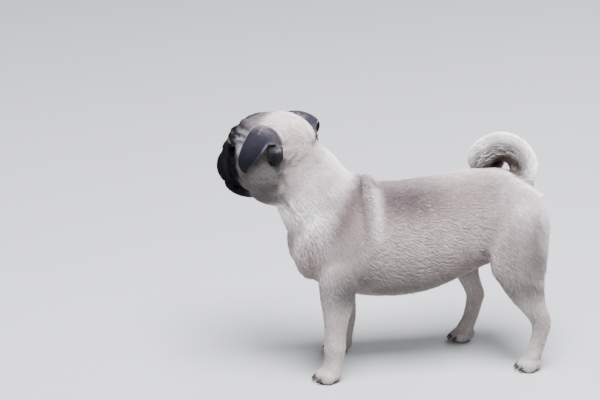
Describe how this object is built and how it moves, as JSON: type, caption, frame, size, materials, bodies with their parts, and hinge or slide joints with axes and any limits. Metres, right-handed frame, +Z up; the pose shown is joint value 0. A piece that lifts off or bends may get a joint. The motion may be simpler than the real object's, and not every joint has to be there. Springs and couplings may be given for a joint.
{
  "type": "pug puppy model",
  "caption": "Standing pug puppy as a still life-size model, head turned away, tail curled over the rump, resting on its paws.",
  "frame": {"origin": "middle of the dog's length and width, on the floor under its paws", "axes": "-X towards the chest and head, -Y towards the dog's left side, +Z up"},
  "size_m": [0.3214, 0.1112, 0.265],
  "materials": {
    "fawn_coat": "short dense matt fur",
    "pale_coat": "short dense matt fur, near cream",
    "black_mask": "very short velvety black fur",
    "nose_leather": "moist pebbled black skin",
    "eye": "glossy near-black"
  },
  "bodies": {
    "root": {"torso": "fawn_coat", "neck": "fawn_coat", "head": "fawn_coat", "muzzle": "black_mask", "lower_jaw": "black_mask", "nose": "nose_leather", "ear_left": "black_mask", "ear_right": "black_mask", "eye_left": "eye", "eye_right": "eye", "tail_base": "fawn_coat", "tail_curl": "pale_coat", "tail_tip": "pale_coat", "shoulder_left": "fawn_coat", "shoulder_right": "fawn_coat", "forearm_left": "pale_coat", "forearm_right": "pale_coat", "forepaw_left": "pale_coat", "forepaw_right": "pale_coat", "thigh_left": "fawn_coat", "thigh_right": "fawn_coat", "shank_left": "pale_coat", "shank_right": "pale_coat", "hock_left": "pale_coat", "hock_right": "pale_coat", "hindpaw_left": "pale_coat", "hindpaw_right": "pale_coat"}
  },
  "joints": []
}
